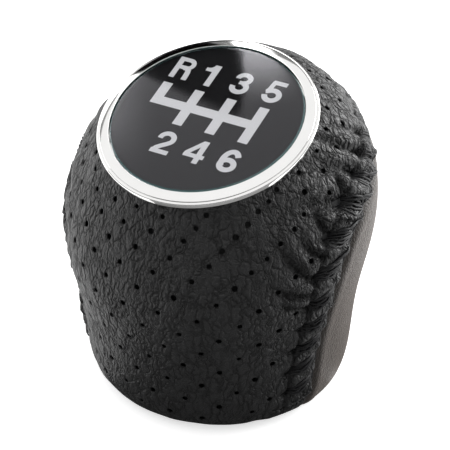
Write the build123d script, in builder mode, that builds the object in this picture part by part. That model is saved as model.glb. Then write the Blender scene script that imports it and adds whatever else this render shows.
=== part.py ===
from build123d import *
import os
from math import cos, radians, sin, tan

# A leather-wrapped gear shift knob with a chromed bezel and a domed shift-pattern badge, in millimetres.
# +Z runs up the lever, +Y points forward in the car and +X to the driver's right.
# The origin is the centre of the underside, at the mouth of the lever socket.

# Grip: round sections up the lever, which lean back towards the driver as they rise.
# The shares say how far up to the bezel they lie, and each flare how much wider a section is than the last.
base_radius = 20.4
flank_share = 0.205
flank_flare = 2.5
waist_share = 0.452
waist_flare = 1.7
crown_share = 0.698
crown_flare = 1.5
shoulder_share = 0.879
shoulder_tuck = 2.8
shoulder_shift = -1.1
base_round = 3.4
section_points = 12

# Badge: its plane is the bezel's underside
badge_tilt = 20.7
bezel_height = 48.7
bezel_shift = -4.0
badge_radius = 15.7
badge_thickness = 0.4
tape_thickness = 0.5
tape_margin = 0.3
lens_edge = 0.35
lens_edge_bevel = 0.2
lens_rise = 1.5
inlay_depth = 0.15

# Bezel ring: a rounded lip, a step, a face that rises inwards, a ledge for the badge and a press-in skirt
bezel_width = 2.15
bezel_lip = 0.7
bezel_lip_width = 0.55
bezel_lip_round = 0.3
bezel_step = 0.12
bezel_rise = 1.35
bezel_ledge = 1.6
bezel_skirt_depth = 4.0
bezel_skirt_wall = 1.0
badge_clearance = 0.15
collar_reveal = 0.3

# Shift gate: one crossbar, a reverse column that only rises, and full columns beside it
gate_columns = 4
gate_column_pitch = 5.95
gate_column_shift = -1.0
gate_bar_height = 1.0
gate_reach = 3.95
gate_width = 1.75

# Leather, its hem under the base, and the glue line between it and the core
skin = 1.3
glue_line = 0.1
hem_height = 0.4
hem_width = 2.6
seam_gap = 0.3

# Seam: up the flank, round a bend and forward along a plane parallel to the badge
seam_setback = -6.2
seam_drop = 11.5
seam_bend_radius = 14.0
first_stitch = 5.0
stitch_pitch = 4.5
stitch_slant = 24.0
stitch_length = 6.8
stitch_width = 1.8
stitch_proud = 0.5
gather_length = 7.4
gather_proud = 0.5
band_width = 6.0
thread_clearance = 0.12

# Lever insert, with its bore at the minor diameter of an M12 x 1.25 thread
thread_minor_radius = 5.32
insert_radius = 8.0
insert_length = 24.0
insert_flange_radius = 9.2
knurl_count = 24
knurl_radius = 0.5
press_clearance = 0.05

# Core mouldings and the base plate
pocket_wall = 2.0
pocket_count = 6
pocket_height = 24.0
rib_thickness = 2.0
plate_clearance = 0.2
tab_height = 4.0
tab_thickness = 1.4
tab_width = 5.0

# Radii and levels that follow from the sizes above; levels on the badge are measured up from its plane
flank_radius = base_radius + flank_flare
waist_radius = flank_radius + waist_flare
crown_radius = waist_radius + crown_flare
shoulder_radius = crown_radius - shoulder_tuck
bezel_bore = badge_radius + badge_clearance
bezel_radius = bezel_bore + bezel_width
collar_radius = bezel_radius - collar_reveal
core_underside = hem_height + skin + glue_line
print_level = tape_thickness + badge_thickness
ledge_radius = bezel_bore - bezel_ledge
skirt_radius = ledge_radius + bezel_skirt_wall
hem_radius = base_radius - base_round - hem_width
plate_radius = hem_radius - plate_clearance
through = 4 * crown_radius


def section_plane(rise, shift=0):
    """The plane of a grip section, leaning further towards the driver the higher it is."""
    lean = radians(badge_tilt * rise**2 * (3 - 2 * rise))
    middle = (0, shift, rise * bezel_height)
    return Plane(middle, x_dir=(0, cos(lean), sin(lean)), z_dir=(0, -sin(lean), cos(lean)))


grip_sections = [
    (section_plane(0), base_radius),
    (section_plane(flank_share), flank_radius),
    (section_plane(waist_share), waist_radius),
    (section_plane(crown_share), crown_radius),
    (section_plane(shoulder_share, shoulder_shift), shoulder_radius),
    (section_plane(1, bezel_shift), collar_radius),
]


def grip_form(inset, floor_height):
    """The grip's solid form, drawn in by inset, cut off flat at floor_height and rounded there."""
    first_angle = 180 / section_points
    with BuildPart() as form:
        for plane, radius in grip_sections:
            with BuildSketch(plane):
                with BuildLine():
                    with PolarLocations(radius - inset, section_points, start_angle=first_angle) as ring:
                        stations = [location.position for location in ring.local_locations]
                    Spline(*stations, periodic=True)
                make_face()
        loft()
        split(bisect_by=Plane.XY.offset(floor_height), keep=Keep.TOP)
        fillet(form.edges().sort_by(Axis.Z)[0], base_round - inset)
    return form.part


skin_form = grip_form(0, hem_height)
lining_form = grip_form(skin, hem_height + skin)
core_form = grip_form(skin + glue_line, core_underside)

badge = Plane((0, bezel_shift, bezel_height)).rotated((badge_tilt, 0, 0))
badge_axis = Axis(badge.origin, badge.z_dir)
badge_section = Plane(badge.origin, x_dir=badge.x_dir, z_dir=-badge.y_dir)

# Everything in front of and below the seam, seen from the side
with BuildSketch(Plane.YZ) as front_region:
    lean = radians(badge_tilt)
    seam_run = through - seam_setback
    seam_corner = (
        bezel_height
        - seam_drop * cos(lean)
        + (seam_setback - bezel_shift - seam_drop * sin(lean)) * tan(lean)
    )
    with BuildLine():
        seam_path = FilletPolyline(
            (seam_setback, -through),
            (seam_setback, seam_corner),
            (through, seam_corner + seam_run * tan(lean)),
            radius=seam_bend_radius,
        )
        Polyline(seam_path @ 1, (through, -through), seam_path @ 0)
    make_face()

# Half of the forward part, whose cut faces meet the leather's surface along the seam
with BuildPart() as seam_guide:
    add(skin_form)
    extrude(front_region.sketch, amount=through, mode=Mode.INTERSECT)

skin_face = skin_form.faces().sort_by(SortBy.AREA)[-1]
flat_faces = seam_guide.faces().filter_by(GeomType.BSPLINE, reverse=True)
cut_faces = flat_faces.sort_by(Axis.Z)[1:].sort_by(Axis.X)[1:]
seam_line = Wire(cut_faces.edges().filter_by(GeomType.BSPLINE))
stitch_count = int((seam_line.length - first_stitch) / stitch_pitch)
stitch_step = (seam_line.length - first_stitch) / stitch_count


def seam_plane(distance):
    """A plane that touches the leather in its edge band, with X along the stitches and Z outwards."""
    point = seam_line.position_at(distance, position_mode=PositionMode.LENGTH)
    along = seam_line.tangent_at(distance, position_mode=PositionMode.LENGTH)
    if along.Y + along.Z < 0:
        along = -along
    across = skin_face.normal_at(point).cross(along)
    centre = skin_face.closest_points(Vertex(point + across * band_width / 2))[0]
    outward = skin_face.normal_at(centre)
    lay = along * sin(radians(stitch_slant)) - across * cos(radians(stitch_slant))
    lay = (lay - outward * lay.dot(outward)).normalized()
    return Plane(centre, x_dir=lay, z_dir=outward)


def bolster(plane, length, width, proud):
    """A round-ended roll along the plane's X direction, as wide as width where it meets the plane."""
    radius = (width**2 / 4 + proud**2) / (2 * proud)
    core_line = plane.offset(proud - radius)
    with BuildPart() as roll:
        with BuildSketch(core_line):
            SlotOverall(length, 2 * radius)
            split(bisect_by=Plane.XZ)
        revolve(axis=Axis(core_line.origin, core_line.x_dir))
    return roll.part


stitch_planes = [seam_plane(first_stitch + stitch_step * (i + 0.5)) for i in range(stitch_count)]
gather_planes = [seam_plane(first_stitch + stitch_step * i) for i in range(stitch_count)]

# The rolls of leather fill what the stitches leave free where they lie closest together
closest = min((a.origin - b.origin).length for a, b in zip(stitch_planes, stitch_planes[1:]))
gather_width = closest * cos(radians(stitch_slant)) - stitch_width - 2 * thread_clearance
gathers = [bolster(plane, gather_length, gather_width, gather_proud) for plane in gather_planes]
gathers += [mirror(gather, about=Plane.YZ) for gather in gathers]

with BuildPart() as rear_cover:
    add(skin_form)
    add(gathers)
    add(lining_form, mode=Mode.SUBTRACT)
    extrude(front_region.sketch, amount=through, both=True, mode=Mode.SUBTRACT)
    with BuildSketch(Plane.XY):
        Circle(hem_radius)
    extrude(amount=core_underside, mode=Mode.SUBTRACT)

with BuildPart() as front_cover:
    add(skin_form)
    add(lining_form, mode=Mode.SUBTRACT)
    with BuildSketch(Plane.YZ):
        Rectangle(2 * through, 2 * through)
        panel = offset(front_region.sketch_local, -seam_gap, kind=Kind.INTERSECTION, mode=Mode.PRIVATE)
        add(panel, mode=Mode.SUBTRACT)
    extrude(amount=through, both=True, mode=Mode.SUBTRACT)
    with BuildSketch(Plane.XY):
        Circle(hem_radius)
    extrude(amount=core_underside, mode=Mode.SUBTRACT)

stitches = []
for plane in stitch_planes:
    roll = bolster(plane, stitch_length, stitch_width, stitch_proud)
    stitches.append(split(roll, bisect_by=plane.offset(thread_clearance), keep=Keep.TOP))
stitches += [mirror(stitch, about=Plane.YZ) for stitch in stitches]

with BuildPart() as seam_thread:
    add(stitches)

with BuildPart() as core:
    add(core_form)
    with BuildSketch(badge):
        Circle(skirt_radius + press_clearance)
        Circle(ledge_radius - press_clearance, mode=Mode.SUBTRACT)
    extrude(amount=-bezel_skirt_depth - press_clearance, mode=Mode.SUBTRACT)
    with BuildSketch(Plane.XY):
        Circle(insert_radius + press_clearance)
    extrude(amount=insert_length, mode=Mode.SUBTRACT)
    with BuildSketch(Plane.XY.offset(core_underside)):
        Circle(hem_radius)
        Circle(insert_radius + pocket_wall, mode=Mode.SUBTRACT)
        with PolarLocations(0, pocket_count):
            Rectangle(2 * hem_radius, rib_thickness, mode=Mode.SUBTRACT)
    extrude(amount=pocket_height, mode=Mode.SUBTRACT)

with BuildPart() as lever_insert:
    Cylinder(insert_radius, insert_length, align=(Align.CENTER, Align.CENTER, Align.MIN))
    with BuildSketch(Plane.XY.offset(core_underside)):
        with PolarLocations(insert_radius, knurl_count):
            Circle(knurl_radius)
    extrude(amount=insert_length, mode=Mode.SUBTRACT)
    Cylinder(insert_flange_radius, core_underside, align=(Align.CENTER, Align.CENTER, Align.MIN))
    with BuildSketch(Plane.XY):
        Circle(thread_minor_radius)
    extrude(amount=insert_length, mode=Mode.SUBTRACT)

with BuildPart() as base_plate:
    with BuildSketch(Plane.XY):
        Circle(plate_radius)
        Circle(insert_flange_radius + plate_clearance, mode=Mode.SUBTRACT)
    extrude(amount=core_underside)
    with BuildSketch(Plane.XY.offset(core_underside)):
        with PolarLocations(plate_radius - tab_thickness, pocket_count, start_angle=180 / pocket_count):
            Rectangle(tab_thickness, tab_width)
    extrude(amount=tab_height)

with BuildPart() as bezel_ring:
    with BuildSketch(badge_section) as bezel_profile:
        with BuildLine():
            Polyline(
                (bezel_radius, 0),
                (bezel_radius, bezel_lip),
                (bezel_radius - bezel_lip_width, bezel_lip),
                (bezel_radius - bezel_lip_width, bezel_lip + bezel_step),
                (bezel_bore, bezel_rise),
                (bezel_bore, tape_thickness),
                (ledge_radius, tape_thickness),
                (ledge_radius, -bezel_skirt_depth),
                (skirt_radius, -bezel_skirt_depth),
                (skirt_radius, 0),
                close=True,
            )
        make_face()
        lip_corner = bezel_profile.vertices().group_by(Axis.X)[-1].sort_by(Axis.Y)[-1]
        fillet(lip_corner, bezel_lip_round)
    revolve(axis=badge_axis)

with BuildPart() as badge_tape:
    with BuildSketch(badge):
        Circle(ledge_radius - tape_margin)
    extrude(amount=tape_thickness)

with BuildSketch(badge.offset(print_level - inlay_depth)) as gate:
    for column in range(gate_columns):
        x = gate_column_shift + gate_column_pitch * (column - (gate_columns - 1) / 2)
        with Locations((x, gate_bar_height)):
            Rectangle(gate_width, gate_reach, align=(Align.CENTER, Align.MIN))
            if column:
                Rectangle(gate_width, gate_reach, align=(Align.CENTER, Align.MAX))
    with Locations((gate_column_shift, gate_bar_height)):
        Rectangle(gate_column_pitch * (gate_columns - 1) + gate_width, gate_width)

with BuildPart() as gate_inlay:
    extrude(gate.sketch, amount=inlay_depth)

with BuildPart() as badge_plate:
    with BuildSketch(badge.offset(tape_thickness)):
        Circle(badge_radius)
    extrude(amount=badge_thickness)
    extrude(gate.sketch, amount=inlay_depth, mode=Mode.SUBTRACT)

with BuildPart() as dome_lens:
    with BuildSketch(badge_section) as lens_profile:
        with BuildLine():
            rim = print_level + lens_edge
            crest = TangentArc((0, rim + lens_rise), (badge_radius, rim), tangent=(1, 0))
            Polyline(crest @ 1, (badge_radius, print_level), (0, print_level), crest @ 0)
        make_face()
        rim_corner = lens_profile.vertices().group_by(Axis.X)[-1].sort_by(Axis.Y)[-1]
        chamfer(rim_corner, lens_edge_bevel)
    revolve(axis=badge_axis)

pieces = {
    "core": core,
    "lever_insert": lever_insert,
    "base_plate": base_plate,
    "rear_cover": rear_cover,
    "front_cover": front_cover,
    "seam_thread": seam_thread,
    "bezel_ring": bezel_ring,
    "badge_tape": badge_tape,
    "badge_plate": badge_plate,
    "gate_inlay": gate_inlay,
    "dome_lens": dome_lens,
}
os.makedirs("parts", exist_ok=True)
for name, piece in pieces.items():
    piece.part.label = name
    export_step(piece.part, f"parts/{name}.step")
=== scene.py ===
"""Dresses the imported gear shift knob: leather panels, laced thread, printed badge, finishes and stage."""

import math

import bpy
import numpy as np
from bpy.props import FloatProperty, FloatVectorProperty, IntProperty, PointerProperty
from mathutils import Matrix, Vector, noise
from mathutils.bvhtree import BVHTree


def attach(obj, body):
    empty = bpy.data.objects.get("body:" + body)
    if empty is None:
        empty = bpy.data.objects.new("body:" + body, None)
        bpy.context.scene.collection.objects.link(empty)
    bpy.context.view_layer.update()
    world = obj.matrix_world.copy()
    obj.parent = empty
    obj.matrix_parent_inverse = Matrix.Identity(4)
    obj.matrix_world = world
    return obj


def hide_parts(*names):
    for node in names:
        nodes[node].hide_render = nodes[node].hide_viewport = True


bl_info = {
    "name": "Gear shift knob dressing",
    "version": (1, 0, 0),
    "blender": (4, 5, 0),
    "location": "View3D > Sidebar > Knob",
    "description": "Leather, lacing, badge print and finishes for the packed gear shift knob",
    "category": "Object",
}

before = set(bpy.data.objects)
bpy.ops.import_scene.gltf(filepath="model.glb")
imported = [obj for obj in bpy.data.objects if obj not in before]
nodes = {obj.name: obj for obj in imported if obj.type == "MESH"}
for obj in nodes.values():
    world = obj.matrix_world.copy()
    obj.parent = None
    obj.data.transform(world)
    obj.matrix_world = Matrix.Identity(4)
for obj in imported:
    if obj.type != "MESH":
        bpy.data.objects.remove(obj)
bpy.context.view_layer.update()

MM = 0.001


def node_points(name):
    """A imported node's vertices in millimetres, one row each."""
    mesh = nodes[name].data
    points = np.empty(3 * len(mesh.vertices))
    mesh.vertices.foreach_get("co", points)
    return points.reshape(-1, 3) / MM


def disc_plane(points):
    """The underside of a flat disc: its centre, the direction forward along it, and its upward normal."""
    middle = (points.min(axis=0) + points.max(axis=0)) / 2
    normal = np.linalg.svd(points - points.mean(axis=0), full_matrices=False)[2][2]
    normal *= np.sign(normal[2])
    depth = (points - middle) @ normal
    return middle + normal * depth.min(), np.cross(normal, (1, 0, 0)), normal


badge_origin, badge_forward, badge_normal = disc_plane(node_points("badge_tape"))
badge_tilt = math.atan2(badge_forward[2], badge_forward[1])
print_level = float(((node_points("badge_plate") - badge_origin) @ badge_normal).max())


def a_length(name, description, millimetres):
    """A length, given in millimetres and kept in metres."""
    return FloatProperty(name=name, description=description, default=millimetres * MM, unit="LENGTH")


def an_angle(name, description, degrees):
    """An angle, given in degrees and kept in radians."""
    return FloatProperty(name=name, description=description, default=math.radians(degrees), subtype="ANGLE")


def a_power(name, description, watts):
    """The power of a lamp."""
    return FloatProperty(name=name, description=description, default=watts, unit="POWER")


def a_number(name, description, value):
    """A plain number."""
    return FloatProperty(name=name, description=description, default=value)


def a_count(name, description, value, least):
    """A whole number and the least that it may be."""
    return IntProperty(name=name, description=description, default=value, min=least)


def a_colour(name, description, *linear):
    """A colour by its linear red, green and blue."""
    return FloatVectorProperty(name=name, description=description, subtype="COLOR", size=3, default=linear)


class GripSizes(bpy.types.PropertyGroup):
    """How the leather lies on the moulded core."""
    skin: a_length("Skin", "From the core's surface to the leather's", 1.4)
    wall: a_length("Leather", "Thickness of the leather", 1.2)
    hem_height: a_length("Hem height", "Floor to the turned-in hem", 0.4)
    hem_radius: a_length("Hem radius", "Where the hem ends", 14.4)
    base_round: a_length("Base round", "Rounding of the lower edge", 3.4)
    cell: a_length("Cell", "Mesh spacing on the leather", 0.36)
    unevenness: a_length("Unevenness", "Soft waves of the leather", 0.16)


class SeamSizes(bpy.types.PropertyGroup):
    """The seam between the panels and the lacing along it."""
    setback: a_length("Setback", "Seam's place along Y on the flanks", -7.8)
    twist: an_angle("Twist", "Turn of the cover on the core", 3.8)
    drop: a_length("Drop", "Seam below the badge's plane", 11.5)
    bend_radius: a_length("Bend", "Radius of the seam's bend", 14.0)
    band: a_length("Band", "Seam to needle holes", 5.7)
    first_stitch: a_length("First stitch", "Seam's foot to the first gather", 5.0)
    pitch: a_length("Pitch", "Least spacing of the stitches", 4.5)
    slant: an_angle("Slant", "Lean of the stitches", 24)
    gather: a_length("Gather", "Height of the leather between stitches", 1.0)
    tuck: a_length("Tuck", "Depth of the crease at the seam", 0.55)
    strand: a_length("Strand", "Radius of one strand", 0.17)
    strands: a_count("Strands", "Strands in a stitch", 6, 1)
    loose_threads: a_count("Loose threads", "Stray threads at the shoulder", 9, 0)


class PunchSizes(bpy.types.PropertyGroup):
    """The holes punched in the rear panel."""
    radius: a_length("Hole", "Radius of a hole", 0.43)
    columns: a_count("Columns", "Columns of one row round the grip", 25, 4)
    row_pitch: a_length("Row pitch", "Spacing of the rows at the base", 3.75)
    row_crowding: a_length("Crowding", "How much closer each row is", 0.04)
    first_row: a_length("First row", "Height of the lowest whole row", 7.8)
    first_column: an_angle("First column", "Turn of the lattice", 1.3751)
    row_bow: a_length("Row bow", "Drop of a row a radian to the side", 7.5)
    margin: a_length("Margin", "Clear leather beside the seam", 7.6)


class BezelSizes(bpy.types.PropertyGroup):
    """The chromed ring round the badge."""
    radius: a_length("Radius", "Outside of the ring", 18.0)
    bore: a_length("Bore", "Opening round the badge", 15.85)
    lip: a_length("Lip", "Height of the outer lip", 0.7)
    lip_width: a_length("Lip width", "Width of the outer lip", 0.55)
    step: a_length("Step", "Step from the lip to the face", 0.12)
    rise: a_length("Rise", "Height of the inner edge", 1.35)


class BadgeSizes(bpy.types.PropertyGroup):
    """The figures printed round the shift gate, and the lens over them."""
    height: a_length("Height", "Height of a figure", 4.75)
    upper: a_length("Upper row", "Middle of the upper figures", 8.6)
    lower: a_length("Lower row", "Middle of the lower figures", -6.95)
    film: a_length("Film", "Thickness of the print", 0.02)
    lens_radius: a_length("Lens", "Radius of the lens", 15.7)
    lens_edge: a_length("Lens edge", "Height of the lens's edge", 0.35)
    lens_rise: a_length("Lens rise", "Height of the dome", 1.5)


class KnobColours(bpy.types.PropertyGroup):
    """Colours of the finishes."""
    leather: a_colour("Leather", "Grained leather", 0.0078, 0.0078, 0.0084)
    plain: a_colour("Plain leather", "Smooth leather", 0.046, 0.037, 0.031)
    thread: a_colour("Thread", "Waxed thread", 0.006, 0.006, 0.007)
    chrome: a_colour("Chrome", "Bezel", 0.8, 0.795, 0.785)
    badge: a_colour("Badge", "Badge plate", 0.006, 0.006, 0.007)
    silver: a_colour("Silver", "Gate and figures", 0.71, 0.715, 0.74)
    lens: a_colour("Lens", "Domed resin", 0.97, 0.98, 0.98)
    lens_edge: a_colour("Lens edge", "Tint of the lens's edge", 0.25, 0.55, 0.55)
    plastic: a_colour("Plastic", "Core and base plate", 0.02, 0.02, 0.021)
    brass: a_colour("Brass", "Lever insert", 0.58, 0.41, 0.16)
    floor: a_colour("Floor", "Stage floor", 0.93, 0.93, 0.93)


class StageSizes(bpy.types.PropertyGroup):
    """Camera and light."""
    azimuth: an_angle("Azimuth", "Camera round the knob, from behind", 29.83)
    elevation: an_angle("Elevation", "Camera above the floor", 32.07)
    roll: an_angle("Roll", "Camera's roll", 0.4)
    distance: a_length("Distance", "Camera to the aim", 269.9)
    aim: a_length("Aim", "Height that the camera aims at", 24.34)
    lens: a_number("Lens", "Focal length in millimetres", 128.0)
    shift_x: a_number("Shift X", "Frame's shift to the right", 0.0121)
    shift_y: a_number("Shift Y", "Frame's shift up", 0.034)
    room: a_number("Room", "Brightness of the room", 0.25)
    top: a_power("Top box", "Power of the upper soft box", 10.1)
    left: a_power("Left box", "Power of the left soft box", 1.7)
    right: a_power("Right box", "Power of the right soft box", 11.0)
    floor_glow: a_number("Floor glow", "Light from below the floor", 0.65)
    right_glow: a_number("Right glow", "Light at the right that the dome mirrors", 6.3)
    left_glow: a_number("Left glow", "Light at the left that the dome mirrors", 2.4)
    card: a_length("Cards", "From the dome to the cards that it mirrors", 300)


class KnobSettings(bpy.types.PropertyGroup):
    """All settings of the dressing."""
    grip: PointerProperty(type=GripSizes)
    seam: PointerProperty(type=SeamSizes)
    punch: PointerProperty(type=PunchSizes)
    bezel: PointerProperty(type=BezelSizes)
    badge: PointerProperty(type=BadgeSizes)
    colour: PointerProperty(type=KnobColours)
    stage: PointerProperty(type=StageSizes)


def smooth(x):
    """A step from 0 to 1 with level ends."""
    x = np.clip(x, 0, 1)
    return x * x * (3 - 2 * x)


def bell(x):
    """1 at 0, falling away softly to both sides."""
    return np.exp(-(x**2))


HASH_STEPS = (12.9898, 78.233, 37.719)
HASH_SCALE = 43758.5453


def hashed(*numbers):
    """A repeatable number from 0 to 1."""
    return (math.sin(sum(n * k for n, k in zip(numbers, HASH_STEPS))) * HASH_SCALE) % 1


def along(path):
    """How far along a path each of its points is."""
    return np.concatenate([[0], np.cumsum(np.linalg.norm(np.diff(path, axis=0), axis=1))])


def unit(vectors):
    """Vectors, one row each, made one unit long."""
    return vectors / np.linalg.norm(vectors, axis=-1, keepdims=True)


class LeatherForm:
    """The leather's outer surface in millimetres, fitted smoothly over the core; side 0 is the driver's."""

    turns = 7                  # waves round the grip that the fit may use
    bends = 11                 # and up the grip
    shift_start = 0.7          # share of the height where the axis starts to bend back to the badge
    shift_power = 2.5
    fitted_rise = 0.1, 0.985   # shares of the height between which the core is measured
    heights, sides = 60, 49    # how often it is measured up the grip and round it
    reach = 60.0               # from the axis to where a ray starts, outside the core

    def __init__(self, sizes):
        self.skin = sizes.skin / MM
        faces = [tuple(face.vertices) for face in nodes["core"].data.polygons]
        core = BVHTree.FromPolygons([Vector(p) for p in node_points("core")], faces)
        rise = np.linspace(*self.fitted_rise, self.heights)
        side = np.linspace(0, math.pi, self.sides)
        rise, side = (g.ravel() for g in np.meshgrid(rise, side))
        centre, out = self.axis(rise, side)
        found = [core.ray_cast(Vector(c + self.reach * d), Vector(-d))[3] for c, d in zip(centre, out)]
        self.fit = np.linalg.lstsq(self.terms(rise, side), self.reach - np.array(found), rcond=None)[0]

    def terms(self, rise, side):
        """The fit's terms at each point: bends up the grip times turns round it."""
        bends = np.polynomial.chebyshev.chebvander(2 * rise - 1, self.bends - 1)
        turns = np.cos(np.outer(side, np.arange(self.turns)))
        return (bends[:, :, None] * turns[:, None, :]).reshape(len(rise), -1)

    def axis(self, rise, side):
        """Where a point's section is centred, and the direction out from there."""
        lean = badge_tilt * rise**2 * (3 - 2 * rise)
        bend = np.clip((rise - self.shift_start) / (1 - self.shift_start), 0, None) ** self.shift_power
        centre = np.stack([0 * rise, badge_origin[1] * bend, badge_origin[2] * rise], axis=-1)
        forward = np.stack([0 * lean, np.cos(lean), np.sin(lean)], axis=-1)
        out = np.outer(np.sin(side), (1, 0, 0)) - np.cos(side)[:, None] * forward
        return centre, out

    def at(self, rise, side):
        """Points of the surface, one row each."""
        rise, side = np.broadcast_arrays(np.asarray(rise, float), np.asarray(side, float))
        shape = rise.shape
        rise, side = rise.ravel(), side.ravel()
        centre, out = self.axis(rise, side)
        radius = self.terms(rise, side) @ self.fit + self.skin
        return (centre + radius[:, None] * out).reshape(*shape, 3)


class SeamPath:
    """The seam in millimetres, from the foot of one flank (1 right, -1 left) to the middle of the front."""

    spacing = 0.25           # from one point of the path to the next
    samples = 260            # places tried on each stretch
    halvings = 40
    flank_rise = 0.02, 0.9   # shares of the height between which the flank's stretch lies
    flank_side = 0.5, 3.0    # angles between which it lies
    handover = 0.8           # share of the bend's height that is still found by height
    front_rise = 0.5, 1.0    # shares of the height between which the front's stretch lies
    batch = 4000             # points that are measured at a time

    def __init__(self, sizes, form, flank):
        self.form = form
        self.flank = flank
        self.twist = math.cos(sizes.twist), math.sin(sizes.twist)
        self.setback = sizes.setback / MM
        self.bend = sizes.bend_radius / MM
        self.below = badge_origin - sizes.drop / MM * badge_normal
        self.cos, self.sin = math.cos(badge_tilt), math.sin(badge_tilt)
        bend_y = self.setback + self.bend
        bend_z = self.below[2] + ((bend_y - self.below[1]) * self.sin - self.bend) / self.cos
        self.bend_centre = bend_y, bend_z
        self.points = self.trace()
        self.length = self.spacing * (len(self.points) - 1)
        self.steps = np.linspace(0, self.length, len(self.points))
        self.first = sizes.first_stitch / MM
        self.stitches = int((self.length - self.first) / (sizes.pitch / MM))
        self.step = (self.length - self.first) / self.stitches

    def behind(self, points):
        """Distance on the rear panel's side of the seam, seen from the side; below 0 is the plain panel."""
        y = points[..., 1] * self.twist[0] - points[..., 0] * self.twist[1]
        z = points[..., 2]
        bend_y, bend_z = self.bend_centre
        above = (z - self.below[2]) * self.cos - (y - self.below[1]) * self.sin
        past_bend = (y - bend_y) * self.cos + (z - bend_z) * self.sin
        in_bend = (past_bend < 0) & (z > bend_z)
        rounded = np.hypot(y - bend_y, z - bend_z) - self.bend
        return np.where(in_bend, rounded, np.maximum(self.setback - y, above))

    def crossing(self, low, high, point_at):
        """Where the surface crosses the seam between low and high, found by halving."""
        rising = self.behind(point_at(high)) > 0
        for _ in range(self.halvings):
            middle = (low + high) / 2
            upper = (self.behind(point_at(middle)) > 0) == rising
            high = np.where(upper, middle, high)
            low = np.where(upper, low, middle)
        return (low + high) / 2

    def trace(self):
        """Goes up the flank to the upper part of the bend by height, and on to the front by angle."""
        rise = np.linspace(*self.flank_rise, self.samples)
        near, far = (self.flank * angle for angle in self.flank_side)
        side = self.crossing(near, far, lambda angle: self.form.at(rise, angle))
        flank = self.form.at(rise, side)
        flank = flank[: np.argmax(flank[:, 2] > self.bend_centre[1] + self.handover * self.bend)]
        turn = np.linspace(side[len(flank) - 1], self.flank * math.pi, self.samples + 1)[1:]
        height = self.crossing(*self.front_rise, lambda up: self.form.at(up, turn))
        path = np.concatenate([flank, self.form.at(height, turn)])
        length = along(path)
        steps = np.arange(0, length[-1], self.spacing)
        return np.stack([np.interp(steps, length, path[:, k]) for k in range(3)], axis=-1)

    def measure(self, points):
        """Distance from the seam, and how far along it the nearest place is."""
        gap = np.empty(len(points))
        place = np.empty(len(points))
        for start in range(0, len(points), self.batch):
            part = slice(start, start + self.batch)
            square = ((points[part, None, :] - self.points) ** 2).sum(axis=2)
            nearest = square.argmin(axis=1)
            gap[part] = np.sqrt(square.min(axis=1))
            place[part] = self.steps[nearest]
        return gap, place

    def ladder(self, gap, place, sizes):
        """Counts the gathers along the lacing: whole numbers are gathers and halves are stitches."""
        slide = (sizes.band / MM / 2 - gap) * math.tan(sizes.slant)
        return (place - slide - self.first) / self.step


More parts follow.
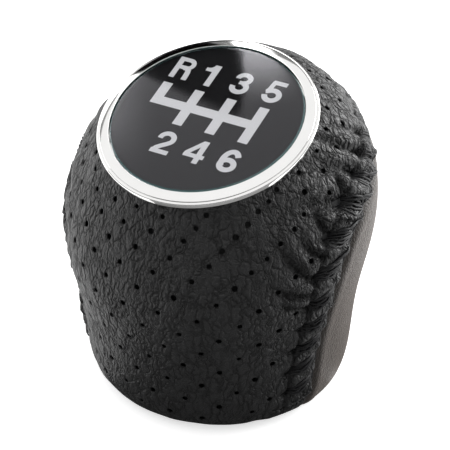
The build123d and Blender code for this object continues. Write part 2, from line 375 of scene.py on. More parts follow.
class LeatherGrid:
    """A fine net over the leather, in rows from the hem to the collar, with vertices drawn onto the seam."""

    girth_radius = 26         # about the grip's radius in millimetres, for the number of columns
    foot_rise = 0.04, 0.14    # shares of the height between which the foot's flare is measured
    samples = 400             # places measured up the wall
    hem_rings = 4

    def __init__(self, settings, form, seams):
        sizes = settings.grip
        columns = round(2 * math.pi * self.girth_radius / (sizes.cell / MM))
        self.sides = np.linspace(-math.pi, math.pi, columns, endpoint=False)
        self.points = self.rows(sizes, form)
        self.normals = self.facing()
        self.value = seams[0].behind(self.points)
        self.snap()
        self.gap, self.place, self.ladder = self.near_seams(seams, settings.seam)

    def rows(self, sizes, form):
        """The turned-in hem, the rounded lower edge and the wall, each row a ring of points."""
        cell = sizes.cell / MM
        round_off = sizes.base_round / MM
        floor = sizes.hem_height / MM
        height = badge_origin[2]
        wall = form.at(np.array(self.foot_rise), math.pi / 2)
        flare = math.atan2(wall[1, 0] - wall[0, 0], wall[1, 2] - wall[0, 2])
        foot = (floor + round_off * (1 - math.sin(flare))) / height
        fine = np.linspace(foot, 1, self.samples)
        length = along(form.at(fine, math.pi / 2))
        rise = np.interp(np.linspace(0, length[-1], round(length[-1] / cell)), length, fine)
        walls = form.at(rise[:, None], self.sides[None, :])
        reach = np.hypot(walls[0, :, 0], walls[0, :, 1])
        outward = walls[0, :, :2] / reach[:, None]
        inner = reach - round_off * math.cos(flare)
        turns = np.linspace(-math.pi / 2, -flare, round(round_off * (math.pi / 2 - flare) / cell))[:-1]
        rings = []
        for ring in np.linspace(0, 1, self.hem_rings, endpoint=False):
            rings.append((sizes.hem_radius / MM * (1 - ring) + inner * ring, floor))
        for turn in turns:
            rings.append((inner + round_off * math.cos(turn), floor + round_off * (1 + math.sin(turn))))
        lower = [np.column_stack([outward * radius[:, None], np.full(len(radius), z)]) for radius, z in rings]
        return np.concatenate([np.array(lower), walls])

    def facing(self):
        """Outward normals of the net."""
        around = np.roll(self.points, -1, axis=1) - np.roll(self.points, 1, axis=1)
        return unit(np.cross(around, np.gradient(self.points, axis=0)))

    def snap(self):
        """Moves the vertices nearest to the seam onto it, so that both panels end on one clean line."""
        half = 0.5
        best = np.ones(self.value.shape)
        moved = self.points.copy()
        for step in ((1, 0), (-1, 0), (0, 1), (0, -1)):
            other = np.roll(self.value, (-step[0], -step[1]), axis=(0, 1))
            target = np.roll(self.points, (-step[0], -step[1]), axis=(0, 1))
            crosses = self.value * other < 0
            if step[0]:
                crosses[-1 if step[0] > 0 else 0] = False
            share = np.where(crosses, self.value / np.where(crosses, self.value - other, 1), 1)
            closer = crosses & (share <= half) & (share < best)
            best = np.where(closer, share, best)
            spot = self.points + share[..., None] * (target - self.points)
            moved = np.where(closer[..., None], spot, moved)
        self.points = moved
        self.value = np.where(best <= half, 0, self.value)

    def near_seams(self, seams, sizes):
        """Each vertex's distance from its flank's seam, its place along it and its count of gathers."""
        found = np.empty((3, *self.value.shape))
        for seam in seams:
            flank = self.points[..., 0] * seam.flank >= 0
            gap, place = seam.measure(self.points[flank])
            found[:, flank] = gap, place, seam.ladder(gap, place, sizes)
        return found

    def quads(self):
        """The net's cells, each by its four vertices."""
        rows, columns = self.value.shape
        index = np.arange(rows * columns).reshape(rows, columns)
        near, far = index[:-1], np.roll(index, -1, axis=1)[:-1]
        return np.stack([near, far, far + columns, near + columns], axis=-1).reshape(-1, 4)

    def faces(self, sign):
        """Faces of the panel on one side of the seam: 1 is the rear panel and -1 the plain one."""
        quads = self.quads()
        side = np.sign(self.value.ravel() * sign)[quads]
        whole = (side >= 0).all(axis=1) & (side > 0).any(axis=1)
        faces = [tuple(quad) for quad in quads[whole]]
        for quad, signs in zip(quads[~whole], side[~whole]):
            for k in range(4):
                if signs[k] > 0 and signs[k - 1] == 0 and signs[(k + 1) % 4] == 0:
                    faces.append((quad[k - 1], quad[k], quad[(k + 1) % 4]))
        return faces


class PunchedHoles:
    """Round holes let into the net: each takes the place of a block of cells."""

    reach = 2                           # cells from a block's middle to its edge
    lip = 1.35                          # radius of the rolled lip, in radii of its hole
    lip_depth, edge_depth = 0.02, 0.16  # how far the lip and the hole's edge are let in, in millimetres
    hole_room, lip_room = 0.75, 0.92    # most of a block's half width that the hole and its lip take
    least, chance = 0.78, 0.34          # smallest hole, and how much larger chance makes others
    rows = range(-1, 18)
    lowest, collar = 17, 2              # rows of the net that stay whole at the foot and under the bezel
    bow_middle, bow_most = 0.08, 1.4    # side where a row is highest, and the most that its bow counts
    lean, lean_start, lean_run = 0.1, 7, 20   # turn of the columns that far above where they start to lean

    def __init__(self, grid, sizes):
        self.grid = grid
        self.radius = sizes.radius / MM
        self.centres = self.lattice(sizes)

    def lattice(self, sizes):
        """The net's vertices nearest to a staggered lattice that bows down aside and leans at the top."""
        grid = self.grid
        wall = grid.points[:, np.argmin(np.abs(grid.sides))]
        length = along(wall)
        start = np.interp(sizes.first_row / MM, wall[:, 2], length)
        angle = 2 * math.pi / sizes.columns
        taken = []
        for row in self.rows:
            level = start + row * (sizes.row_pitch / MM - sizes.row_crowding / MM * row)
            for column in range(-sizes.columns // 2, sizes.columns // 2 + 1):
                side = sizes.first_column + angle * (column + 0.5 * (row % 2))
                place = level - sizes.row_bow / MM * min((side - self.bow_middle) ** 2, self.bow_most)
                lean = self.lean * (max(place - start - self.lean_start, 0) / self.lean_run) ** 2
                i = int(np.searchsorted(length, place))
                j = round((side - lean + math.pi) / (2 * math.pi) * len(grid.sides)) % len(grid.sides)
                if abs(side) < math.pi and self.fits(i, j, sizes.margin / MM):
                    taken.append((i, j))
        return taken

    def fits(self, i, j, margin):
        """Whether a block is on the wall of the rear panel, clear of the lacing and the bezel."""
        grid = self.grid
        clear = self.lowest <= i < len(grid.points) - self.reach - self.collar
        return clear and grid.value[i, j] > 0 and grid.gap[i, j] > margin

    def block(self, i, j):
        """The net's vertices round a block, in order."""
        n = len(self.grid.sides)
        k = self.reach
        ring = [(i - k, j + c) for c in range(-k, k)] + [(i + r, j + k) for r in range(-k, k)]
        ring += [(i + k, j - c) for c in range(-k, k)] + [(i - r, j - k) for r in range(-k, k)]
        return [r * n + c % n for r, c in ring]

    def cells(self):
        """First corners of the cells that the holes take."""
        n = len(self.grid.sides)
        span = range(-self.reach, self.reach)
        return {(i + r) * n + (j + c) % n for i, j in self.centres for r in span for c in span}

    def rings(self, points, normals, first):
        """New vertices and faces: a rounded lip and the hole's edge inside each block."""
        vertices, faces = [], []
        for i, j in self.centres:
            block = self.block(i, j)
            spot = i * len(self.grid.sides) + j
            middle, normal = points[spot], normals[spot]
            right = unit(np.cross((0, 0, 1.0), normal))
            up = np.cross(normal, right)
            offset = points[block] - middle
            turn = np.arctan2(offset @ up, offset @ right)
            spoke = np.cos(turn)[:, None] * right + np.sin(turn)[:, None] * up
            room = np.linalg.norm(offset, axis=1).min()
            hole = min(self.radius, self.hole_room * room) * (self.least + self.chance * hashed(i, j))
            lip = min(hole * self.lip, self.lip_room * room)
            before = block
            for radius, depth in ((lip, self.lip_depth), (hole, self.edge_depth)):
                start = first + len(vertices)
                ring = list(range(start, start + len(block)))
                vertices += list(middle + radius * spoke - depth * normal)
                for a in range(len(block)):
                    b = (a + 1) % len(block)
                    faces.append((before[a], before[b], ring[b], ring[a]))
                before = ring
        return vertices, faces


def waves(points, scale, stretch):
    """Soft noise from -1 to 1 over the points, drawn out along Z."""
    return np.array([noise.noise(Vector((x / scale, y / scale, z / scale / stretch))) for x, y, z in points])


class Gathers:
    """What the lacing makes of the rear panel's leather: heights in millimetres and painted shade in its
    creases from 0 to 1.
    """

    # Right and left flank: how strongly the lacing pulls, how much it slackens and how far along the seam
    right_pull, left_pull = (1, 0.65, 50), (0.8, 0.6, 29)
    slack_run = 6
    # Gathers below the first one where the pull starts, and over how many it grows
    foot, foot_run = 0.9, 0.5
    other_luck = 4.1
    # The shoulder, where the leather is drawn furthest: its place along the seam and its width
    shoulder_place, shoulder_width = 44, 13
    # The gathered band: its soft edges, how far it sinks as a whole, and a gather's least height and luck
    seam_edge, hole_edge, hole_run = 0.9, 0.4, 1.8
    band_sink, least, lucky = 0.4, 0.6, 0.7
    # The groove along the needle holes: its place in bands, how it waves, its width, depth and painted shade
    groove_place, groove_wave, groove_width, groove_depth, groove_dark = 0.9, 0.55, 0.42, 0.5, 0.5
    # How dark the painted shade is in the hollows between the gathers and in the folds
    crease_dark, fold_dark = 0.6, 0.65
    # A knot on the right flank: its distance from the seam and place along it, its two widths and height
    knot_gap, knot_place, knot_wide, knot_long, knot_height = 3.3, 36.5, 1.5, 1.6, 0.8
    # Leather drawn in past the band: its reach with what luck adds, where it starts, dents and ridges
    pull_reach, pull_luck, pull_least = 1.6, 5.5, 0.25
    pull_start, pull_run = 0.6, 1.5
    dent, shoulder_dent, ridge, shoulder_ridge = 0.5, 0.7, 0.15, 0.5
    # The dimple at each needle hole: its depth and width
    dimple, dimple_width = 0.6, 0.6
    # The tuck at the seam: how far from the seam its shade is painted and how far it is deep
    tuck_dark, tuck_run = 0.7, 0.8
    # Folds on the right flank: distance from the seam and place along it, at both ends
    folds = (
        ((7.3, 24.7), (11.6, 25.9)), ((6.8, 26.5), (13.5, 27.4)), ((6.4, 28.4), (14.2, 32.0)),
        ((5.4, 31.5), (11.0, 32.7)), ((6.0, 34.2), (10.9, 36.8)), ((6.0, 39.5), (9.5, 41.5)),
    )
    # A fold's bow, the shares of its length where it rises and fades, its crease and the roll beside it
    fold_bow = 0.9
    fold_rise, fade_start, fade_run = 0.3, 0.35, 0.75
    fold_depth, fold_width = 0.6, 0.42
    roll_height, roll_place, roll_width = 0.35, 1.2, 0.8

    def __init__(self, grid, sizes):
        self.gap, self.place, self.ladder = grid.gap, grid.place, grid.ladder
        self.right = grid.points[..., 0] > 0
        self.band = sizes.band / MM
        chance = np.floor(self.ladder) * HASH_STEPS[0] + self.other_luck * self.right
        self.luck = (np.sin(chance) * HASH_SCALE) % 1
        self.swell = 0.5 + 0.5 * np.cos(2 * math.pi * self.ladder)
        self.between = (1 - self.swell) ** 4
        pairs = zip(self.right_pull, self.left_pull)
        pull, slack, start = (np.where(self.right, right, left) for right, left in pairs)
        self.laced = smooth((self.ladder + self.foot) / self.foot_run)
        self.laced *= pull - slack * smooth((self.place - start) / self.slack_run)
        self.height, self.crease = self.rolls(sizes.gather / MM)
        self.height += self.knot_height * self.knot() * self.right
        self.draw_in()
        self.dimples(sizes.pitch)
        for start, end in self.folds:
            self.fold(start, end)
        # Painted shade along the tuck at the seam
        self.crease = np.maximum(self.crease, 1 - smooth(self.gap / self.tuck_dark))
        self.height -= sizes.tuck / MM * (1 - smooth(self.gap / self.tuck_run))

    def rolls(self, gather):
        """A roll of leather between every two stitches, and the groove along the needle holes, with painted
        shade in the groove and between the rolls.
        """
        past_holes = smooth((self.gap - self.band + self.hole_edge) / self.hole_run)
        in_band = smooth(self.gap / self.seam_edge) * (1 - past_holes)
        roll = gather * self.swell**0.5 * (self.least + self.lucky * self.luck) - self.band_sink
        middle = self.gap - self.groove_place * self.band - self.groove_wave * self.swell
        groove = bell(middle / self.groove_width)
        height = self.laced * in_band * roll - self.groove_depth * self.laced * groove
        # Painted shade in the groove and in the hollows between the gathers
        dark = np.maximum(self.groove_dark * groove, self.crease_dark * in_band * self.between)
        return height, self.laced * dark

    def knot(self):
        """Where the leather bunches up on the right flank."""
        across = (self.gap - self.knot_gap) / self.knot_wide
        return bell(across) * bell((self.place - self.knot_place) / self.knot_long)

    def draw_in(self):
        """Dents that run on from the stitches past the band, with ridges between them."""
        shoulder = bell((self.place - self.shoulder_place) / self.shoulder_width)
        past = np.maximum(self.gap - self.band, 0)
        reach = self.pull_reach + self.pull_luck * self.luck * (self.pull_least + shoulder)
        pull = self.laced * smooth((self.gap - self.band * self.pull_start) / self.pull_run)
        pull = pull * np.exp(-past / reach)
        self.height -= (self.dent + self.shoulder_dent * shoulder) * pull * self.between
        ridge = (self.ridge + self.shoulder_ridge * shoulder) * pull * self.swell
        self.height += ridge * smooth(past / self.pull_run)

    def dimples(self, pitch):
        """A dimple at each needle hole."""
        across = (np.mod(self.ladder, 1) - 0.5) * pitch / MM
        spot = bell((self.gap - self.band) / self.dimple_width) * bell(across / self.dimple_width)
        self.height -= self.dimple * self.laced * spot

    def fold(self, start, end):
        """A crease from one end to the other, deep at its start, with a roll of leather beside it."""
        run, climb = end[0] - start[0], end[1] - start[1]
        length = math.hypot(run, climb)
        gap, place = self.gap - start[0], self.place - start[1]
        share = (gap * run + place * climb) / length**2
        aside = (place * run - gap * climb) / length + self.fold_bow * share * (1 - share)
        rise = smooth((share + self.fold_rise) / self.fold_rise)
        strength = self.right * rise * (1 - smooth((share - self.fade_start) / self.fade_run))
        crease = strength * bell(aside / self.fold_width)
        roll = strength * bell((aside - self.roll_place) / self.roll_width)
        self.height += self.roll_height * roll - self.fold_depth * crease
        # Painted shade along the fold's crease
        self.crease = np.maximum(self.crease, self.fold_dark * crease)


def mesh_object(name, vertices, edges, faces):
    """A new mesh object at the origin, from vertices in metres."""
    mesh = bpy.data.meshes.new(name)
    mesh.from_pydata([tuple(v) for v in vertices], edges, faces)
    made = bpy.data.objects.new(name, mesh)
    bpy.context.scene.collection.objects.link(made)
    return made


def new_piece(name, vertices, faces):
    """A checked mesh object at the origin, from vertices in millimetres."""
    piece = mesh_object(name, np.asarray(vertices) * MM, [], faces)
    piece.data.validate()
    return piece


def only(piece):
    """Makes a piece the only selected and active object."""
    bpy.ops.object.select_all(action="DESELECT")
    piece.select_set(True)
    bpy.context.view_layer.objects.active = piece


def face_outwards(piece):
    """Turns all faces of a closed piece outwards."""
    only(piece)
    bpy.ops.object.mode_set(mode="EDIT")
    bpy.ops.mesh.select_all(action="SELECT")
    bpy.ops.mesh.normals_make_consistent(inside=False)
    bpy.ops.object.mode_set(mode="OBJECT")


LEATHER_CORNER = math.radians(50)
TURNED_CORNER = math.radians(32)


def thicken(piece, wall):
    """Gives a sheet its thickness inwards, closes its edges and shades it smooth."""
    only(piece)
    solid = piece.modifiers.new("wall", "SOLIDIFY")
    solid.thickness = wall
    solid.offset = -1
    bpy.ops.object.modifier_apply(modifier=solid.name)
    bpy.ops.object.shade_smooth_by_angle(angle=LEATHER_CORNER)


def used(faces):
    """The numbers of the vertices that the faces use, and the faces renumbered."""
    keep = sorted({v for face in faces for v in face})
    number = {old: new for new, old in enumerate(keep)}
    return keep, [tuple(number[v] for v in face) for face in faces]


class Leather:
    """The measured leather, worked out once for both panels and the lacing."""

    def __init__(self, settings):
        self.form = LeatherForm(settings.grip)
        self.seams = [SeamPath(settings.seam, self.form, flank) for flank in (1, -1)]
        self.grid = LeatherGrid(settings, self.form, self.seams)
        self.smooth = self.tree(self.grid.points.reshape(-1, 3))
        self.gathered = self.smooth

    def tree(self, points):
        """The net with its vertices at those points, for finding places on it."""
        return BVHTree.FromPolygons([Vector(p) for p in points], self.grid.quads().tolist())


leather_store = {}


def leather(settings):
    """The leather's form, seam and net."""
    if "leather" not in leather_store:
        leather_store["leather"] = Leather(settings)
    return leather_store["leather"]


def rear_panel(settings):
    """The perforated panel: gathered along the lacing, softly uneven and punched."""
    made = leather(settings)
    grid = made.grid
    gathers = Gathers(grid, settings.seam)
    height, crease = gathers.height.ravel(), gathers.crease.ravel()
    flat = grid.points.reshape(-1, 3)
    normals = grid.normals.reshape(-1, 3)
    rear = grid.value.ravel() > 0
    even_edge, small_share = 3, 0.4
    fade = smooth(grid.gap.ravel() / even_edge)[rear]
    large, small = waves(flat[rear], scale=6.5, stretch=1.6), waves(flat[rear], scale=2.6, stretch=1.5)
    height[rear] += settings.grip.unevenness / MM * (fade * large + small_share * small)
    points = flat + height[:, None] * normals
    made.gathered = made.tree(points)
    holes = PunchedHoles(grid, settings.punch)
    cells = holes.cells()
    faces = [face for face in grid.faces(1) if face[0] not in cells or len(face) < 4]
    rings, ring_faces = holes.rings(points, normals, len(points))
    keep, faces = used(faces + ring_faces)
    piece = new_piece("perforated_panel", np.concatenate([points, rings])[keep], faces)
    # The painted shade in the creases, kept on the points for the leather's finish
    shares = np.concatenate([crease, np.zeros(len(rings))])[keep]
    piece.data.attributes.new("crease", "FLOAT", "POINT").data.foreach_set("value", shares)
    return piece


def plain_panel(settings):
    """The smooth panel, turned in along the seam behind a slight swelling."""
    grid = leather(settings).grid
    turn_run, uneven_share = 0.9, 0.35
    swelling, swelling_place, swelling_width = 0.12, 1.6, 0.9
    gap = grid.gap.ravel()
    flat = grid.points.reshape(-1, 3)
    front = grid.value.ravel() < 0
    height = swelling * bell((gap - swelling_place) / swelling_width)
    height -= settings.seam.tuck / MM * (1 - smooth(gap / turn_run))
    large = waves(flat[front], scale=9, stretch=2.5)
    height[front] += uneven_share * settings.grip.unevenness / MM * large
    points = flat + height[:, None] * grid.normals.reshape(-1, 3)
    keep, faces = used(grid.faces(-1))
    return new_piece("plain_panel", points[keep], faces)


def tube(path, radii, sides, first):
    """Vertices and faces of a round strand with closed ends along a path."""
    any_direction = (0.31, 0.17, 0.93)
    path = np.asarray(path)
    ahead = unit(np.gradient(path, axis=0))
    across = unit(np.cross(ahead, any_direction))
    other = np.cross(ahead, across)
    turn = np.linspace(0, 2 * math.pi, sides, endpoint=False)[None, :, None]
    ring = np.cos(turn) * across[:, None, :] + np.sin(turn) * other[:, None, :]
    vertices = (path[:, None, :] + np.asarray(radii)[:, None, None] * ring).reshape(-1, 3)
    faces = []
    for k in range(len(path) - 1):
        for a in range(sides):
            b = (a + 1) % sides
            low, high = first + k * sides, first + (k + 1) * sides
            faces.append((low + a, low + b, high + b, high + a))
    faces.append(tuple(first + a for a in reversed(range(sides))))
    faces.append(tuple(first + (len(path) - 1) * sides + a for a in range(sides)))
    return list(vertices), faces


class Lacing:
    """Bundles of waxed strands from the needle holes over the gathered edge into the seam, in millimetres."""

    points, sides = 13, 6             # along a strand and round it
    search = 3                        # how far off the smooth leather the gathered leather is looked for
    taper = 0.25                      # how much thinner a strand is at its ends
    shoulder, shoulder_width = 42, 10   # where along the seam the stitches are least even
    width, more_width = 1.9, 0.35     # of a bundle, and how much chance adds
    stray = 0.5                       # how far strands and leans stray at the shoulder
    sunk, rise, crown = 0.9, 1.08, 0.14   # a stitch's ends under the leather, its rise and its crown
    past_seam = 0.25                  # how far its strands run on past the seam
    buried, arch_power = 0.03, 0.4    # share of its arch that is cut off at each end, and how full it is
    thinnest, thicker = 0.9, 0.3      # of its strands, in strand radii, and how much chance adds
    ripple, ripples = 0.05, 7
    calm, calm_run = 0.2, 5           # how much lower stitches lie beyond the flank
    calm_start = {1: 42, -1: 29}
    proud, proud_place, proud_run = 0.25, 22, 9   # how much higher they stand low on the left flank
    cord_radius, cord_gap, cord_step = 0.24, 0.1, 0.5   # the cord in the seam, just behind its line

    def __init__(self, settings, seam):
        made = leather(settings)
        self.sizes = settings.seam
        self.band = self.sizes.band / MM
        self.seam, self.smooth, self.gathered = seam, made.smooth, made.gathered
        self.ahead = unit(np.gradient(seam.points, axis=0))
        self.vertices, self.faces = [], []

    def over(self, place, gap, lift):
        """A point that far along and behind the seam, lifted off the leather."""
        k = int(np.clip(place / self.seam.spacing, 0, len(self.seam.points) - 1))
        base, ahead = self.seam.points[k], self.ahead[k]
        normal = np.array(self.smooth.find_nearest(Vector(base))[1])
        across = np.cross(normal, ahead)
        across *= np.sign(self.seam.behind(base + across) - self.seam.behind(base - across))
        spot, normal = self.smooth.find_nearest(Vector(base + gap * across))[:2]
        hit = self.gathered.ray_cast(spot + self.search * normal, -normal, 2 * self.search)[0] or spot
        return np.array(hit) + lift * np.array(normal)

    def strand(self, path, radius):
        """Adds a strand."""
        radii = radius * (1 - self.taper * np.abs(np.linspace(-1, 1, len(path))) ** 3)
        vertices, faces = tube(path, radii, self.sides, len(self.vertices))
        self.vertices += vertices
        self.faces += faces

    def drop(self, middle):
        """How much lower a stitch lies than those on the lower right flank."""
        flank = self.seam.flank
        drop = self.calm * float(smooth((middle - self.calm_start[flank]) / self.calm_run))
        if flank < 0:
            drop -= self.proud * float(1 - smooth((middle - self.proud_place) / self.proud_run))
        return drop

    def fan(self, u):
        """How far a bundle's strands are spread at a share of its length."""
        narrow, pace, end_start, end = 0.22, 1.15, 0.87, 0.55
        if u >= end_start:
            return end
        return narrow + (1 - narrow) * math.sin(math.pi * min(u * pace, 1)) ** 0.8

    def stitch(self, number):
        """One bundle: gathered at the needle hole, fanned out over the leather and drawn into the seam."""
        sizes, seam = self.sizes, self.seam
        middle = seam.first + seam.step * (number + 0.5)
        shoulder = float(bell((middle - self.shoulder) / self.shoulder_width))
        lean = math.tan(sizes.slant) * (1 + self.stray * shoulder * (hashed(number, 3) - 0.5))
        width = (1 + self.more_width * hashed(number, 5)) * self.width
        sunk = -self.sunk - self.drop(middle)
        for k in range(sizes.strands):
            spread = (k / (sizes.strands - 1) - 0.5) * width
            stray = self.stray * shoulder * (hashed(number, k, 1) - 0.5)
            rise = self.rise + self.crown * (1 - (2 * spread / width) ** 2)
            path = []
            for u in np.linspace(0, 1, self.points):
                gap = self.band * (1 - u) - self.past_seam * u
                aside = spread * self.fan(u) + stray * math.sin(math.pi * u)
                arch = math.sin(math.pi * (self.buried + (1 - 2 * self.buried) * u)) ** self.arch_power
                lift = sunk + rise * arch + self.ripple * math.sin(self.ripples * u + k)
                path.append(self.over(middle + (self.band / 2 - gap) * lean + aside, gap, lift))
            self.strand(path, sizes.strand / MM * (self.thinnest + self.thicker * hashed(number, k)))

    def edge(self):
        """A cord that fills the crease of the seam from the foot to the front."""
        places = np.arange(self.cord_step, self.seam.length, self.cord_step)
        self.strand([self.over(place, self.cord_gap, 0.0) for place in places], self.cord_radius)

    def loose(self, number):
        """A stray thread that wanders over the shoulder."""
        first_place, places, longest_run = 36, 17, 7
        widest_gap, widest_drift, least_gap = 6.4, 4, 0.8
        sway, swings, gap_sway, gap_swings = 1.2, 5, 0.7, 4
        radius, lift, bow = 0.06, 0.06, 0.12
        start = first_place + places * hashed(number, 1)
        run = (hashed(number, 2) - 0.5) * longest_run
        start_gap = widest_gap * hashed(number, 4)
        drift = (hashed(number, 5) - 0.5) * widest_drift
        path = []
        for u in np.linspace(0, 1, self.points):
            place = start + run * u + sway * math.sin(swings * u + number)
            gap = start_gap + drift * u + gap_sway * math.cos(gap_swings * u + number)
            path.append(self.over(place, max(gap, least_gap), lift + bow * math.sin(math.pi * u)))
        self.strand(path, radius)

    def cross(self, number):
        """A few taut strands from one needle hole across to the next stitch."""
        strands, apart, past_seam = 3, 0.35, 0.2
        first_hole, hole_step = 0.95, 0.1
        least_run, more_run = 0.9, 0.25
        low, bow = -0.4, 0.65
        for k in range(strands):
            start = self.seam.first + self.seam.step * (number + 0.25) + apart * k
            hole = self.band * (first_hole - hole_step * k)
            run = self.seam.step * (least_run + more_run * hashed(number, k))
            path = []
            for u in np.linspace(0, 1, self.points):
                gap = hole * (1 - u) - past_seam * u
                lift = low + bow * math.sin(math.pi * u) ** 0.5
                path.append(self.over(start + run * u, gap, lift))
            self.strand(path, self.sizes.strand / MM)


def arc(x, y, reach_x, reach_y, start, end):
    """Points of an arc from one angle to another, in degrees."""
    degrees_apart = 12
    turns = np.radians(np.linspace(start, end, 4 + int(abs(end - start) / degrees_apart)))
    return [(x + reach_x * math.cos(t), y + reach_y * math.sin(t)) for t in turns]


# Strokes of the figures, one unit high: each is its width and the points along its middle
FIGURES = {
    "R": [
        (0.20, [(0.10, 0), (0.10, 1)]),
        (0.17, [(0.05, 0.915), (0.40, 0.915)] + arc(0.43, 0.73, 0.185, 0.185, 84, -84)
         + [(0.40, 0.545), (0.05, 0.545)]),
        (0.20, [(0.36, 0.53), (0.47, 0.52), (0.545, 0.46), (0.575, 0.36), (0.585, 0.20)]
         + [(0.59, 0.1), (0.59, 0)]),
    ],
    "1": [
        (0.23, [(0.375, 0), (0.375, 1)]),
        (0.15, [(0, 0.735), (0.12, 0.745), (0.21, 0.785), (0.29, 0.875), (0.32, 0.96)]),
        (0.12, [(0, 0.72), (0.30, 0.72)]),
    ],
    "2": [
        (0.19, [(0.098, 0.64)] + arc(0.345, 0.68, 0.245, 0.225, 180, -38)
         + [(0.44, 0.45), (0.29, 0.33), (0.17, 0.22), (0.125, 0.12), (0.12, 0.06)]),
        (0.18, [(0.015, 0.09), (0.69, 0.09)]),
    ],
    "3": [
        (0.19, arc(0.335, 0.715, 0.225, 0.19, 188, -78)),
        (0.16, [(0.23, 0.53), (0.40, 0.53)]),
        (0.20, arc(0.335, 0.31, 0.25, 0.215, 75, -188)),
    ],
    "4": [
        (0.20, [(0.545, 0), (0.545, 1)]),
        (0.17, [(0, 0.305), (0.76, 0.305)]),
        (0.17, [(0.075, 0.28), (0.075, 0.36), (0.515, 0.955)]),
    ],
    "5": [
        (0.18, [(0.125, 0.91), (0.655, 0.91)]),
        (0.17, [(0.19, 0.95), (0.125, 0.45)]),
        (0.20, [(0.05, 0.445), (0.16, 0.50)] + arc(0.335, 0.325, 0.255, 0.23, 118, -176)),
    ],
    "6": [
        (0.20, arc(0.35, 0.315, 0.245, 0.215, 0, 360)),
        (0.20, arc(0.365, 0.50, 0.26, 0.405, 32, 222)),
    ],
}

# Where each figure starts from the left, in millimetres on the badge, and whether it stands in the upper row
FIGURE_PLACES = {
    "R": (-10.75, True), "1": (-5.4, True), "3": (0.15, True), "5": (6.05, True),
    "2": (-5.55, False), "4": (0.1, False), "6": (6.1, False),
}


def stroke(name, width, path):
    """A flat bar of that width along a path, one unit thick, as an object."""
    path = np.array(path)
    ring = np.allclose(path[0], path[-1])
    ahead = np.gradient(path, axis=0)
    if ring:
        ahead[0] = ahead[-1] = path[1] - path[-2]
    ahead = unit(ahead)
    across = np.column_stack([-ahead[:, 1], ahead[:, 0]]) * width / 2
    if ring:
        path, across = path[:-1], across[:-1]
    corners = [(path + across, 0), (path - across, 0), (path - across, 1), (path + across, 1)]
    vertices = np.stack([np.column_stack([p, np.full(len(p), z)]) for p, z in corners], axis=1).reshape(-1, 3)
    faces = []
    for k in range(len(path) - (0 if ring else 1)):
        here, there = 4 * k, 4 * ((k + 1) % len(path))
        for a in range(4):
            b = (a + 1) % 4
            faces.append((here + a, here + b, there + b, there + a))
    if not ring:
        faces += [(3, 2, 1, 0), tuple(4 * (len(path) - 1) + a for a in range(4))]
    piece = mesh_object(name, vertices, [], faces)
    face_outwards(piece)
    return piece


def badge_frame():
    """Turns the badge's own directions, right, forward and out, into the knob's."""
    columns = np.column_stack([(1, 0, 0), badge_forward, badge_normal])
    return Matrix.Translation(Vector(badge_origin * MM)) @ Matrix(columns.tolist()).to_4x4()


def figure(name, sizes):
    """One figure: its strokes united, scaled and laid on the badge."""
    first, *others = [stroke("figure_" + name, width, path) for width, path in FIGURES[name]]
    for other in others:
        union = first.modifiers.new("union", "BOOLEAN")
        union.operation = "UNION"
        union.solver = "EXACT"
        union.object = other
        only(first)
        bpy.ops.object.modifier_apply(modifier=union.name)
        bpy.data.objects.remove(other)
    left, upper = FIGURE_PLACES[name]
    base = (sizes.upper if upper else sizes.lower) - sizes.height / 2
    place = Matrix.Translation((left * MM, base, print_level * MM))
    first.data.transform(badge_frame() @ place @ Matrix.Diagonal((sizes.height, sizes.height, sizes.film, 1)))
    return first


def lathe(name, profile, steps):
    """Spins a profile of radius and height in millimetres round the badge's axis."""
    edges = [(k, k + 1) for k in range(len(profile) - 1)]
    piece = mesh_object(name, [(r * MM, 0, z * MM) for r, z in profile], edges, [])
    only(piece)
    bpy.ops.object.mode_set(mode="EDIT")
    bpy.ops.mesh.select_all(action="SELECT")
    bpy.ops.mesh.spin(steps=steps, angle=2 * math.pi, center=(0, 0, 0), axis=(0, 0, 1))
    bpy.ops.mesh.select_all(action="SELECT")
    bpy.ops.mesh.remove_doubles(threshold=MM / 1000)
    bpy.ops.object.mode_set(mode="OBJECT")
    face_outwards(piece)
    bpy.ops.object.shade_smooth_by_angle(angle=TURNED_CORNER)
    piece.data.transform(badge_frame())
    return piece


def rounded(corner, before, after, radius):
    """Points of a small round at a corner of a profile."""
    points = 6
    corner, before, after = (np.array(p, float) for p in (corner, before, after))
    into, out = unit(before - corner), unit(after - corner)
    return [tuple(corner + radius * ((1 - u) ** 2 * into + u**2 * out)) for u in np.linspace(0, 1, points)]


def bezel_profile(sizes):
    """The bezel's section: a rounded lip, a step, a face rising inwards, the badge's ledge and the skirt."""
    radius, lip, width = sizes.radius / MM, sizes.lip / MM, sizes.lip_width / MM
    step, rise, bore = sizes.step / MM, sizes.rise / MM, sizes.bore / MM
    ledge, ledge_level, skirt, deep = bore - 1.6, 0.5, bore - 0.6, -4.0
    lip_round, step_round, crest_round = 0.3, 0.08, 0.14
    foot, top, inner = (radius, 0), (radius, lip), (radius - width, lip)
    brink, crest, seat = (radius - width, lip + step), (bore, rise), (bore, ledge_level)
    profile = [foot] + rounded(top, foot, inner, lip_round) + [inner]
    profile += rounded(brink, inner, crest, step_round) + rounded(crest, brink, seat, crest_round)
    return profile + [seat, (ledge, ledge_level), (ledge, deep), (skirt, deep), (skirt, 0), foot]


def dome_profile(sizes):
    """The lens's section, a shallow dome with a bevelled edge, just clear of the print."""
    clear, bevel, dome_edge, points = 0.02, 0.2, 0.35, 26
    radius, edge, rise = sizes.lens_radius / MM, sizes.lens_edge / MM, sizes.lens_rise / MM
    bottom = print_level + sizes.film / MM + clear
    rim = print_level + edge
    sphere = (radius**2 + rise**2) / (2 * rise)
    profile = [(0, bottom), (radius, bottom), (radius, rim - bevel), (radius - bevel, rim + clear)]
    for reach in np.linspace(radius - dome_edge, 0, points):
        profile.append((reach, rim + rise - sphere + math.sqrt(sphere**2 - reach**2)))
    return profile


